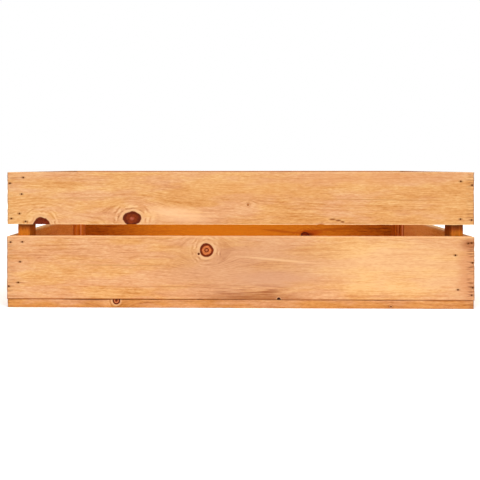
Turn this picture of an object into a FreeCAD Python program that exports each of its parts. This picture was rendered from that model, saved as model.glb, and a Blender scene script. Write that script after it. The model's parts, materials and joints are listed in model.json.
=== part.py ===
"""A low slatted crate of nailed pine boards, open at the top.

Two boards with a gap between them make each long side and each end. A post in each inner corner joins
them, and four boards laid lengthwise close the bottom. Everything is held by brad nails with sunk heads.

The frame is in millimetres: X runs along the crate, Y across it from front to back and Z up, and the
origin is the middle of the underside.
"""

import FreeCAD
import Part

import math
import os

Vector = FreeCAD.Vector
X_AXIS, Y_AXIS, Z_AXIS = Vector(1, 0, 0), Vector(0, 1, 0), Vector(0, 0, 1)

# The crate over all.
CRATE_LENGTH = 560.0
CRATE_WIDTH = 310.0

# The walls: two courses of board with an open gap between them.
UPPER_BOARD_HEIGHT = 63.0
LOWER_BOARD_HEIGHT = 76.0
WALL_GAP = 14.0
SIDE_BOARD_THICKNESS = 10.0
END_BOARD_THICKNESS = 10.0
UPPER_SIDE_TRIM = 0.4  # how much shorter the upper long boards are, at each end

# The floor: boards laid along the crate, under the walls.
FLOOR_BOARD_COUNT = 4
FLOOR_BOARD_THICKNESS = 10.0
FLOOR_BOARD_GAP = 3.0
FLOOR_TRIM = 0.8  # how much shorter the floor boards are, at each end

# The corner posts, which stand on the floor boards.
POST_WIDTH = 15.0  # along X
POST_DEPTH = 23.0  # along Y
POST_TOP_DROP = 2.0  # from the rim down to a post's top

# The sawn edges are eased by hand.
EDGE_ROUND = 0.8

# Brad nails.
NAIL_SHANK_RADIUS = 0.7
NAIL_HEAD_RADIUS = 1.1
NAIL_HEAD_THICKNESS = 0.7
NAIL_POINT_LENGTH = 2.0
NAIL_SINK = 0.6  # how far a head's top lies under the wood's face
NAIL_TIP_COVER = 3.0  # wood left between a nail's tip and the far face of the post
HOLE_MOUTH = 2.0  # how far a hole's cutter stands out of the wood

# Where the nails go. Each is (strip, share, edge, distance): the strip of wood behind the board that it
# is driven into, its place across that strip from -1 at the crate's end to 1, and its distance from the
# board's top or bottom edge, or above the board's middle.
UPPER_SIDE_NAILS_A = (
    ("post", 0.3, "top", 6.5),
    ("post", 0.05, "middle", 5.0),
    ("post", -0.3, "bottom", 13.0),
    ("post", 0.7, "bottom", 3.5),
    ("end", -0.25, "top", 13.5),
    ("end", 0.1, "bottom", 7.0),
)
UPPER_SIDE_NAILS_B = (
    ("post", -0.15, "top", 11.0),
    ("post", -0.1, "bottom", 7.0),
    ("end", -0.4, "top", 15.5),
    ("end", -0.3, "bottom", 6.0),
)
LOWER_SIDE_NAILS_A = (
    ("post", 0.15, "top", 7.0),
    ("post", -0.2, "middle", 7.0),
    ("post", -0.5, "bottom", 20.0),
    ("end", -0.1, "top", 7.5),
    ("end", -0.55, "bottom", 15.5),
)
LOWER_SIDE_NAILS_B = (
    ("post", 0.7, "top", 22.0),
    ("post", 0.3, "bottom", 13.0),
    ("end", 0.5, "top", 8.0),
    ("end", -0.3, "top", 7.5),
    ("end", -0.5, "middle", 7.0),
    ("end", -0.55, "bottom", 15.5),
    ("end", -0.3, "bottom", 6.5),
)
UPPER_END_NAILS_A = (("post", 0.2, "top", 19.0), ("post", -0.3, "bottom", 21.0))
UPPER_END_NAILS_B = (("post", -0.1, "top", 20.5), ("post", 0.35, "bottom", 22.0))
LOWER_END_NAILS_A = (
    ("post", -0.2, "top", 14.0),
    ("post", 0.3, "middle", -3.0),
    ("post", -0.1, "bottom", 25.0),
)
LOWER_END_NAILS_B = (
    ("post", 0.25, "top", 13.5),
    ("post", -0.35, "middle", -2.0),
    ("post", 0.1, "bottom", 26.0),
)
FLOOR_NAIL_EDGE = 14.0  # from a floor board's long edge to its nails
FLOOR_NAIL_POST_CLEARANCE = 8.0  # from a post's side to the nearest floor nail
FLOOR_NAIL_PITCH = 150.0  # the most between the nails along a long side
FLOOR_NAIL_WANDER = (0.12, -0.2, 0.05, 0.25, -0.1)  # shares across the strip, taken in turn

# Heights that follow from the sizes above.
LOWER_BOTTOM = FLOOR_BOARD_THICKNESS
LOWER_TOP = LOWER_BOTTOM + LOWER_BOARD_HEIGHT
UPPER_BOTTOM = LOWER_TOP + WALL_GAP
UPPER_TOP = UPPER_BOTTOM + UPPER_BOARD_HEIGHT
COURSES = {"upper": (UPPER_BOTTOM, UPPER_TOP), "lower": (LOWER_BOTTOM, LOWER_TOP)}

HALF_LENGTH = CRATE_LENGTH / 2
HALF_WIDTH = CRATE_WIDTH / 2
FLOOR_BOARD_WIDTH = (CRATE_WIDTH - (FLOOR_BOARD_COUNT - 1) * FLOOR_BOARD_GAP) / FLOOR_BOARD_COUNT
SIDE_NAIL_LENGTH = SIDE_BOARD_THICKNESS + POST_DEPTH - NAIL_TIP_COVER - NAIL_SINK
END_NAIL_LENGTH = END_BOARD_THICKNESS + POST_WIDTH - NAIL_TIP_COVER - NAIL_SINK
FLOOR_NAIL_LENGTH = SIDE_NAIL_LENGTH


def board(low, high):
    """A sawn board between two corners, with every edge eased."""
    size = high - low
    block = Part.makeBox(size.x, size.y, size.z, low)
    return block.makeFillet(min(EDGE_ROUND, 0.2 * min(size.x, size.y, size.z)), block.Edges)


def revolved(outline):
    """The solid that an outline of (radius, height) points makes round Z."""
    points = [Vector(radius, 0, height) for radius, height in outline]
    face = Part.Face(Part.makePolygon(points + points[:1]))
    return face.revolve(Vector(0, 0, 0), Z_AXIS, 360)


def nail_outline(length, mouth):
    """A nail's half section, head up at height zero, with its hole's mouth added above the head."""
    neck = -NAIL_HEAD_THICKNESS
    return [
        (0, -length),
        (NAIL_SHANK_RADIUS, NAIL_POINT_LENGTH - length),
        (NAIL_SHANK_RADIUS, neck - (NAIL_HEAD_RADIUS - NAIL_SHANK_RADIUS)),
        (NAIL_HEAD_RADIUS, neck),
        (NAIL_HEAD_RADIUS, mouth),
        (0, mouth),
    ]


def driven(shape, place, inward):
    """A nail or its hole, with its head at a place on the wood's face and its point going inward."""
    turn = FreeCAD.Rotation(Z_AXIS, -inward)
    placed = shape.copy()
    placed.Placement = FreeCAD.Placement(place + inward * NAIL_SINK, turn)
    return placed


def nail_height(course, edge, distance):
    """The height of a nail that is placed from its board's top, middle or bottom."""
    bottom, top = COURSES[course]
    return {"top": top - distance, "middle": (bottom + top) / 2 + distance, "bottom": bottom + distance}[edge]


def strip_place(strip, share, end_thickness, post_size):
    """How far from the outside a nail stands when it goes into the end board or the post."""
    starts, size = {"end": (0, end_thickness), "post": (end_thickness, post_size)}[strip]
    return starts + size * (1 + share) / 2


def side_boards():
    """The four long boards."""
    made = {}
    for wall, side in (("front", -1), ("back", 1)):
        outer = side * HALF_WIDTH
        inner = side * (HALF_WIDTH - SIDE_BOARD_THICKNESS)
        for course, (bottom, top) in COURSES.items():
            half = HALF_LENGTH - (UPPER_SIDE_TRIM if course == "upper" else 0)
            low = Vector(-half, min(outer, inner), bottom)
            made[f"{wall}_{course}_board"] = board(low, Vector(half, max(outer, inner), top))
    return made


def end_boards():
    """The four short boards, which fit between the long ones."""
    made = {}
    half = HALF_WIDTH - SIDE_BOARD_THICKNESS
    for wall, side in (("left", -1), ("right", 1)):
        for course, (bottom, top) in COURSES.items():
            reach = HALF_LENGTH - (UPPER_SIDE_TRIM if course == "upper" else 0)
            outer = side * reach
            inner = side * (HALF_LENGTH - END_BOARD_THICKNESS)
            low = Vector(min(outer, inner), -half, bottom)
            made[f"{wall}_{course}_board"] = board(low, Vector(max(outer, inner), half, top))
    return made


def corner_posts():
    """The four posts, each in the corner between a long board and an end board."""
    made = {}
    outer_x = HALF_LENGTH - END_BOARD_THICKNESS
    outer_y = HALF_WIDTH - SIDE_BOARD_THICKNESS
    for wall, side_y in (("front", -1), ("back", 1)):
        for end, side_x in (("left", -1), ("right", 1)):
            xs = sorted((side_x * outer_x, side_x * (outer_x - POST_WIDTH)))
            ys = sorted((side_y * outer_y, side_y * (outer_y - POST_DEPTH)))
            low = Vector(xs[0], ys[0], LOWER_BOTTOM)
            made[f"{wall}_{end}_post"] = board(low, Vector(xs[1], ys[1], UPPER_TOP - POST_TOP_DROP))
    return made


def floor_boards():
    """The boards of the bottom, numbered from the front."""
    made = {}
    half = HALF_LENGTH - FLOOR_TRIM
    for number in range(FLOOR_BOARD_COUNT):
        front = -HALF_WIDTH + number * (FLOOR_BOARD_WIDTH + FLOOR_BOARD_GAP)
        low = Vector(-half, front, 0)
        high = Vector(half, front + FLOOR_BOARD_WIDTH, FLOOR_BOARD_THICKNESS)
        made[f"floor_board_{number + 1}"] = board(low, high)
    return made


def side_nails():
    """Nails through the long boards: the back is the front turned half round."""
    made = {}
    patterns = {
        "upper": (UPPER_SIDE_NAILS_A, UPPER_SIDE_NAILS_B),
        "lower": (LOWER_SIDE_NAILS_A, LOWER_SIDE_NAILS_B),
    }
    for wall, side in (("front", -1), ("back", 1)):
        for course, pair in patterns.items():
            nails = []
            for pattern, end in zip(pair, (side, -side)):
                for strip, share, edge, distance in pattern:
                    inset = strip_place(strip, share, END_BOARD_THICKNESS, POST_WIDTH)
                    x = end * (HALF_LENGTH - inset)
                    place = Vector(x, side * HALF_WIDTH, nail_height(course, edge, distance))
                    nails.append((place, Y_AXIS * -side, SIDE_NAIL_LENGTH))
            made[f"{wall}_{course}_nails"] = nails
    return made


def end_nails():
    """Nails through the end boards into the posts, at heights that miss the ones through the sides."""
    made = {}
    patterns = {
        "upper": (UPPER_END_NAILS_A, UPPER_END_NAILS_B),
        "lower": (LOWER_END_NAILS_A, LOWER_END_NAILS_B),
    }
    for wall, side in (("left", -1), ("right", 1)):
        for course, pair in patterns.items():
            trim = UPPER_SIDE_TRIM if course == "upper" else 0
            nails = []
            for pattern, end in zip(pair, (side, -side)):
                for strip, share, edge, distance in pattern:
                    inset = strip_place(strip, share, SIDE_BOARD_THICKNESS, POST_DEPTH)
                    y = end * (HALF_WIDTH - inset)
                    place = Vector(side * (HALF_LENGTH - trim), y, nail_height(course, edge, distance))
                    nails.append((place, X_AXIS * -side, END_NAIL_LENGTH - trim))
            made[f"{wall}_{course}_nails"] = nails
    return made


def floor_nail_rows(front, back):
    """Where one floor board is nailed to the end boards: two places across it, clear of the posts."""
    post_free = HALF_WIDTH - SIDE_BOARD_THICKNESS - POST_DEPTH - FLOOR_NAIL_POST_CLEARANCE
    return max(front + FLOOR_NAIL_EDGE, -post_free), min(back - FLOOR_NAIL_EDGE, post_free)


def floor_nails():
    """Nails up through the floor boards into the end boards and, on the outer two, the long boards."""
    made = {}
    reach = HALF_LENGTH - END_BOARD_THICKNESS - POST_WIDTH - FLOOR_NAIL_EDGE
    count = math.ceil(2 * reach / FLOOR_NAIL_PITCH)
    for number in range(FLOOR_BOARD_COUNT):
        front = -HALF_WIDTH + number * (FLOOR_BOARD_WIDTH + FLOOR_BOARD_GAP)
        back = front + FLOOR_BOARD_WIDTH
        places = []
        for turn, y in enumerate(floor_nail_rows(front, back)):
            for end in (-1, 1):
                share = FLOOR_NAIL_WANDER[(number + turn + end) % len(FLOOR_NAIL_WANDER)]
                inset = strip_place("end", share, END_BOARD_THICKNESS, POST_WIDTH)
                places.append((end * (HALF_LENGTH - inset), y))
        outer_side = {0: -1, FLOOR_BOARD_COUNT - 1: 1}.get(number)
        if outer_side:
            for step in range(count + 1):
                share = FLOOR_NAIL_WANDER[step % len(FLOOR_NAIL_WANDER)]
                inset = strip_place("end", share, SIDE_BOARD_THICKNESS, POST_DEPTH)
                places.append((-reach + 2 * reach * step / count, outer_side * (HALF_WIDTH - inset)))
        nails = [(Vector(x, y, 0), Z_AXIS, FLOOR_NAIL_LENGTH) for x, y in places]
        made[f"floor_{number + 1}_nails"] = nails
    return made


def main():
    """Builds the wood, drives the nails, opens their holes and writes one file for each node."""
    wood = {**side_boards(), **end_boards(), **corner_posts(), **floor_boards()}
    driven_nails = {**side_nails(), **end_nails(), **floor_nails()}

    lengths = {length for nails in driven_nails.values() for _, _, length in nails}
    nail_of = {length: revolved(nail_outline(length, 0)) for length in lengths}
    hole_of = {length: revolved(nail_outline(length, HOLE_MOUTH)) for length in lengths}

    holes = [
        driven(hole_of[length], place, inward)
        for nails in driven_nails.values()
        for place, inward, length in nails
    ]
    nodes = {}
    for name, solid in wood.items():
        meeting = [hole for hole in holes if hole.BoundBox.intersect(solid.BoundBox)]
        nodes[name] = solid.cut(meeting) if meeting else solid
    for name, nails in driven_nails.items():
        group = [driven(nail_of[length], place, inward) for place, inward, length in nails]
        nodes[name] = Part.makeCompound(group)

    os.makedirs("parts", exist_ok=True)
    for name, shape in nodes.items():
        shape.exportStep(os.path.join("parts", f"{name}.step"))
        print(f"{name}: {len(shape.Solids)} solids, {shape.Volume / 1000:.2f} cm3, valid {shape.isValid()}")


main()
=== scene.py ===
"""The looks of a low slatted crate, nailed together from honey-stained pine.

Every board and post is cut again as a worn, drilled piece of wood, and every nail as a brad with a sunk
head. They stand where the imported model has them. Lengths are in metres, except where a name or a comment
says millimetres: the grain of wood is laid out in millimetres on the board it belongs to.
"""

import json
import logging
import math
from contextlib import contextmanager
from dataclasses import dataclass, field
from enum import Enum
from functools import partial
from typing import Iterator, Sequence

import bpy
from mathutils import Matrix, Vector

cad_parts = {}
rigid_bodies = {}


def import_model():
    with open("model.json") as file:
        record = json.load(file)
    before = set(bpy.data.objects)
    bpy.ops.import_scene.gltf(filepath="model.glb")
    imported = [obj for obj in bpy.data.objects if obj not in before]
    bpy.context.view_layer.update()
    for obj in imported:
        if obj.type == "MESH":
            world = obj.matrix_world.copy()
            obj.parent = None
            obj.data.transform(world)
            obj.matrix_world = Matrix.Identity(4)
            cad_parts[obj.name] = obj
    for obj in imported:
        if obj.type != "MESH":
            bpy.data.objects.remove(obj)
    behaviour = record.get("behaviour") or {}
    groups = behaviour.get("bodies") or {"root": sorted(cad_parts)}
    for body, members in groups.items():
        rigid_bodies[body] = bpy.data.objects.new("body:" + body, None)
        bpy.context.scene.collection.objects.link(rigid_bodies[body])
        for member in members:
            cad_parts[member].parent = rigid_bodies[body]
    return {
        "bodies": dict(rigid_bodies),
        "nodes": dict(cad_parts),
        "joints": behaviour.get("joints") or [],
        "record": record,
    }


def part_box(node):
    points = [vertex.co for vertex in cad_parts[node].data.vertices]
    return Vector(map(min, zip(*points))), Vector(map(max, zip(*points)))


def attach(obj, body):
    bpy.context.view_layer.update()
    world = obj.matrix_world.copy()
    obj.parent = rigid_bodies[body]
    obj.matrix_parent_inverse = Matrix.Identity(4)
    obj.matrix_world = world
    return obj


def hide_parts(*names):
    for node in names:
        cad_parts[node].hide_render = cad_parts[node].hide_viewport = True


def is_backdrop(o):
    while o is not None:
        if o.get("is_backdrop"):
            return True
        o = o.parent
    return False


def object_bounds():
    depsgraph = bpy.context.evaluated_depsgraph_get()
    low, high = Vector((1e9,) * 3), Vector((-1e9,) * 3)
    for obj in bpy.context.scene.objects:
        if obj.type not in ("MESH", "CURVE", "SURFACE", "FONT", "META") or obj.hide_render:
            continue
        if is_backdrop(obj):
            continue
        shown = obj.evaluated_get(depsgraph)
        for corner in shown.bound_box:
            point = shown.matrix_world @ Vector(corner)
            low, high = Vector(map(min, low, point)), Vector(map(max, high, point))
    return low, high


log = logging.getLogger("crate")

MM = 0.001
SAME_PLACE = 0.001 * MM  # points nearer to each other than this are one
BODY = "root"
INWARD = {"front": (0, 1, 0), "back": (0, -1, 0), "left": (1, 0, 0), "right": (-1, 0, 0), "floor": (0, 0, 1)}
SOFTLY = {"interpolation_type": "SMOOTHSTEP"}  # a range that eases in and out
IN_COLOUR = {"data_type": "RGBA"}  # a mix of two colours


# ---------------------------------------------------------------- small tools


def linear(code: str) -> tuple[float, float, float, float]:
    """Turns an sRGB hex colour into linear light.

    Args:
        code: six hex digits, such as "E8A96D".

    Returns:
        Red, green, blue and a full alpha.
    """
    parts = [int(code[at : at + 2], 16) / 255 for at in (0, 2, 4)]
    light = [part / 12.92 if part <= 0.04045 else ((part + 0.055) / 1.055) ** 2.4 for part in parts]
    return (*light, 1.0)


def add_node(
    tree: bpy.types.NodeTree,
    kind: str,
    inputs: dict | None = None,
    stops: Sequence[tuple[float, Sequence[float]]] = (),
    **settings: object,
) -> bpy.types.Node:
    """Adds one node to a tree, with its settings made and its inputs filled.

    Args:
        tree: the tree that takes the node.
        kind: the node's type, without "ShaderNode" before it.
        inputs: a value, a socket or a node to link, for each input's name or number. A node is linked by
            its first output in use.
        stops: a colour ramp's places and linear colours, from its first to its last.
        settings: the node's own properties.

    Returns:
        The new node.
    """
    made = tree.nodes.new("ShaderNode" + kind)
    for name, value in settings.items():
        setattr(made, name, value)
    if stops:
        ramp = made.color_ramp.elements
        ramp[0].position, ramp[-1].position = stops[0][0], stops[-1][0]
        for at, _ in stops[1:-1]:
            ramp.new(at)
        for stop, (_, colour) in zip(ramp, stops):
            stop.color = colour
    for key, value in (inputs or {}).items():
        if isinstance(value, bpy.types.Node):
            value = next(socket for socket in value.outputs if socket.enabled)
        if isinstance(value, bpy.types.NodeSocket):
            tree.links.new(value, made.inputs[key])
        else:
            made.inputs[key].default_value = value
    return made


def new_material(name: str) -> tuple[bpy.types.Material, partial]:
    """Makes an empty material, and gives it with the function that adds a node to it."""
    made = bpy.data.materials.new(name)
    made.use_nodes = True
    made.node_tree.nodes.clear()
    return made, partial(add_node, made.node_tree)


def deselect_all() -> None:
    """Leaves nothing selected."""
    bpy.ops.object.select_all(action="DESELECT")


def pick(*pieces: bpy.types.Object) -> None:
    """Selects these objects and nothing else, and makes the first one active."""
    deselect_all()
    for piece in pieces:
        piece.select_set(True)
    bpy.context.view_layer.objects.active = pieces[0]


@contextmanager
def editing(piece: bpy.types.Object, kind: str = "FACE") -> Iterator[None]:
    """Opens a piece in edit mode for the length of a with block.

    Args:
        piece: the mesh object to edit.
        kind: what is selected there, VERT, EDGE or FACE.

    Yields:
        Nothing.
    """
    pick(piece)
    bpy.ops.object.mode_set(mode="EDIT")
    bpy.ops.mesh.select_mode(type=kind)
    try:
        yield
    finally:
        bpy.ops.object.mode_set(mode="OBJECT")


def select_faces(piece: bpy.types.Object, wanted: Sequence[bool]) -> None:
    """Selects the faces for which wanted is true, and nothing else, in object mode."""
    mesh = piece.data
    for part in (mesh.vertices, mesh.edges, mesh.polygons):
        part.foreach_set("select", [False] * len(part))
    mesh.polygons.foreach_set("select", list(wanted))


def extrude(height: float, scale: float = 1.0) -> None:
    """Draws the selected faces of the open mesh upwards, then widens or narrows them."""
    bpy.ops.mesh.extrude_region_move(TRANSFORM_OT_translate={"value": (0, 0, height)})
    if scale != 1:
        bpy.ops.transform.resize(value=(scale, scale, 1))


def face_outwards() -> None:
    """Turns every face of the open mesh outwards."""
    bpy.ops.mesh.select_all(action="SELECT")
    bpy.ops.mesh.normals_make_consistent(inside=False)


def copy_of(piece: bpy.types.Object, name: str) -> bpy.types.Object:
    """Copies a piece, with a mesh of its own."""
    copy = bpy.data.objects.new(name, piece.data.copy())
    bpy.context.collection.objects.link(copy)
    return copy


def box_of(piece: bpy.types.Object) -> tuple[Vector, Vector]:
    """The lowest and highest corners of a piece that sits at the origin."""
    corners = [Vector(corner) for corner in piece.bound_box]
    return Vector(map(min, zip(*corners))), Vector(map(max, zip(*corners)))


def apply_modifier(piece: bpy.types.Object, name: str) -> None:
    """Applies one modifier of a piece by its name."""
    pick(piece)
    bpy.ops.object.modifier_apply(modifier=name)


def settle(piece: bpy.types.Object, place: Matrix) -> None:
    """Puts a piece's place into its mesh, so that its object sits at the origin, unturned and unscaled."""
    piece.matrix_world = place
    pick(piece)
    bpy.ops.object.transform_apply(location=True, rotation=True, scale=True)


# ---------------------------------------------------------------- the wood's own space


class Facing(Enum):
    """Which way a piece of wood lies: the directions of its grain, of its width and of its face."""

    FRONT = ((1, 0, 0), (0, 0, 1), (0, -1, 0))
    BACK = ((-1, 0, 0), (0, 0, 1), (0, 1, 0))
    LEFT = ((0, -1, 0), (0, 0, 1), (-1, 0, 0))
    RIGHT = ((0, 1, 0), (0, 0, 1), (1, 0, 0))
    UNDER = ((1, 0, 0), (0, -1, 0), (0, 0, -1))
    UPRIGHT_FRONT = ((0, 0, 1), (1, 0, 0), (0, 1, 0))
    UPRIGHT_BACK = ((0, 0, 1), (-1, 0, 0), (0, -1, 0))


@dataclass(frozen=True)
class Bench:
    """A piece of wood laid out flat: its middle, its directions and its half sizes, in metres."""

    middle: Vector
    facing: Facing
    half: Vector

    @classmethod
    def of(cls, node: str, facing: Facing) -> "Bench":
        """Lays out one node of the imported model.

        Args:
            node: the node's name.
            facing: which way the wood lies.

        Returns:
            The node's bench.
        """
        low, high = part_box(node)
        size = high - low
        half = Vector([abs(Vector(axis).dot(size)) / 2 for axis in facing.value])
        return cls((low + high) / 2, facing, half)

    @property
    def turn(self) -> Matrix:
        """The rotation from the row's directions to the wood's own: grain, width and face."""
        return Matrix(self.facing.value)

    @property
    def place(self) -> Matrix:
        """The matrix that carries a piece from the bench to its place."""
        return Matrix.Translation(self.middle) @ self.turn.transposed().to_4x4()

    def on_wood(self, point: Vector) -> Vector:
        """A point of the row as millimetres along, across and out of the wood, from its middle."""
        return (self.turn @ (point - self.middle)) / MM

    def shows(self, point: Vector) -> bool:
        """Whether a point lies on the face, or less than a millimetre from it."""
        place, half = self.on_wood(point), self.half / MM
        return abs(place.z - half.z) < 1 and abs(place.x) < half.x and abs(place.y) < half.y

    def from_corner(self, along: float, across: float) -> Vector:
        """A place on the face, given in millimetres from its left end and lower edge, from its middle."""
        return Vector((along - self.half.x / MM, across - self.half.y / MM, self.half.z / MM))


# ---------------------------------------------------------------- what marks a piece of wood


@dataclass(frozen=True)
class Knot:
    """A knot, in millimetres from the face's left end and lower edge."""

    along: float
    across: float
    radius: float
    heart: str = "B0703C"
    flesh: str = "9A562C"
    rim: str = "5C2208"
    ringed: bool = False  # whether a dark ring parts its heart from its flesh
    length: float = 1.0  # how many times longer it is than wide
    reach: float = 1.5  # how far the grain swings out round it, in radii
    taper: float = 0.0  # how much of its radius it loses for each millimetre into the wood
    curled: float = 0.3  # how dark the arcs round it are
    pale: float = 0.6  # how pale the ring of wood next to it is

    @property
    def bands(self) -> tuple[tuple[float, str], ...]:
        """The colours from its heart out to its rim, each with its distance in radii."""
        if self.ringed:
            ring = ((0.19, self.rim), (0.28, self.rim))
            bands = ((0.1, self.heart), *ring, (0.36, self.flesh), (0.58, self.flesh), (0.7, self.rim))
        else:
            bands = ((0.08, self.heart), (0.32, self.flesh), (0.6, self.flesh), (0.76, self.rim))
        return (0.0, self.heart), *bands, (1.0, self.rim)


@dataclass(frozen=True)
class Patch:
    """A soft oval on a face, in millimetres from its left end and lower edge."""

    along: float
    across: float
    half_length: float
    half_width: float
    tilt: float = field(default=0.0, kw_only=True)  # degrees, rising to the right


@dataclass(frozen=True)
class Tint(Patch):
    """A patch of another colour."""

    colour: str
    share: float
    streaky: bool = False  # whether it is broken up along the grain


@dataclass(frozen=True)
class SoakAndShade(Patch):
    """A patch that deepens or lightens the colour: mostly real patches of deeper or lighter stain, in some
    places painted shade and painted light.
    """

    change: float


@dataclass(frozen=True)
class Marks:
    """All that sets one board apart from the next."""

    seed: float
    knots: tuple[Knot, ...] = ()
    tints: tuple[Tint, ...] = ()
    # patches of deeper or lighter stain, and patches of painted shade and painted light
    soaks: tuple[SoakAndShade, ...] = ()
    pith: tuple[float, float] = (-60.0, -70.0)  # the tree's middle, across and out from the board's, in mm
    rosy: float = 0.5  # how much of it is rosy rather than golden
    stain: float = 0.0  # how much deeper than usual the stain has gone, from -0.2 to 0.4
    nicks: tuple[tuple[float, float, float], ...] = ()  # in the lower edge: along, half length and depth, mm
    splits: tuple[float, float] = (0.4, 0.4)  # how strongly its left and right ends are split


# ---------------------------------------------------------------- finishes


@dataclass(frozen=True)
class StainedPine:
    """Scots pine, sawn and planed, under one thin coat of honey oil stain.

    The stain goes deeper into soft early wood and torn fibres than into hard late wood, so the colour runs
    from straw to amber in short broken dashes, with patches that lean to gold or to rose. The oil sinks in
    and leaves only a faint sheen along the fibres.
    """

    golden: tuple[str, str, str, str] = ("D9AD76", "C99157", "B27238", "84461A")
    rose: tuple[str, str, str, str] = ("D6A97C", "C89063", "B27548", "844824")
    stops: tuple[float, float, float, float] = (0.14, 0.44, 0.74, 1.0)  # the stain's depth at each colour
    deep: tuple[float, float, float, float] = (0.97, 0.6, 0.07, 1.0)  # painted shade: the share of colour that the inside faces keep, darker and redder
    soak: str = "6E3414"  # end grain, splits and iron stains
    halo: str = "D2A275"  # the pale wood next to a knot
    ring: float = 3.2  # growth ring, mm
    thickening: float = 0.012  # how much the stem widens along the board
    years: tuple[float, float] = (0.31, 2.4)  # how often good years change to bad, and by how many rings
    wander: float = 9.0  # how far the grain strays, mm
    sway: tuple[float, float] = (210.0, 60.0)  # the length and width of that straying, mm
    ripple: float = 2.2  # how far its small waves go, mm
    wave: tuple[float, float] = (26.0, 7.0)  # the length and width of such a wave, mm
    clear: tuple[float, float] = (70.0, 15.0)  # an area where the rings show, mm
    area: tuple[float, float] = (80.0, 16.0)  # a golden or rosy area, mm
    curl: float = 4.8  # from one dark arc to the next round a knot, mm
    fray: float = 7.0  # how far such arcs stray, in radians
    torn: tuple[float, float, float] = (9.0, 6.0, 20.0)  # where they break off, mm
    swing: float = 0.62  # the width of the grain's swing round a knot, as a share of its length
    bays: float = 0.36  # how far a knot's outline strays, in radii
    wobble: tuple[float, float, float] = (8.0, 8.0, 30.0)  # the size of that straying, mm
    grit: tuple[float, float, float] = (1.8, 1.8, 8.0)  # the specks in a knot, mm
    brush: tuple[float, float] = (26.0, 1.8)  # a streak of a broken tint, mm
    crack: tuple[float, float, float] = (13.0, 1.5, 9.0)  # a split, mm
    dash: tuple[float, float] = (14.0, 1.6)  # a broken dash of stain, mm
    line: tuple[float, float] = (38.0, 1.3)  # a thin line of late wood, mm
    lined: float = 0.17  # how dark such a line is
    blotch: tuple[float, float] = (52.0, 14.0)  # a patch of stain, mm
    fibre: tuple[float, float] = (4.5, 1.1)  # fibre bundle, mm: real ones are too fine to show
    usual: float = 0.38  # the stain's usual depth
    shares: tuple[float, float, float] = (0.46, 0.4, 0.56)  # of dashes, patches and fibres in that depth
    ends: tuple[float, float] = (1.6, 0.75)  # how far the darkness of end grain reaches, mm, and its share
    edges: tuple[float, float] = (1.2, 0.06)  # the same for the long edges
    split: tuple[float, float] = (12.0, 5.0)  # where a split closes and where it is widest, mm from the end
    iron: tuple[float, float, float] = (2.0, 0.9, 0.45)  # the stain round a nail: outer and inner mm, share
    inner_shade_reach: tuple[float, float] = (2.0, 0.9)  # where the painted inner shade starts and is full, mm from the back
    inner_shade_margin: float = 3.0  # the width over which the painted inner shade fades out at a long edge, mm
    relief: float = 0.3 * MM  # how high the grain stands
    roughness: tuple[float, float] = (0.5, 0.68)  # of the oil, from between the fibres to their tops
    ior: float = 1.46  # of the oil
    sheen: float = 0.12

    def material(self, name: str, bench: Bench, marks: Marks, heads: Sequence[Vector]) -> bpy.types.Material:
        """Makes the wood of one piece.

        Args:
            name: the piece's name.
            bench: how the piece lies.
            marks: its knots, tints and seed.
            heads: the nail heads on it, in the row's frame.

        Returns:
            The material.
        """
        return PineCoat(self, name, bench, marks).dressed(heads)


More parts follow.
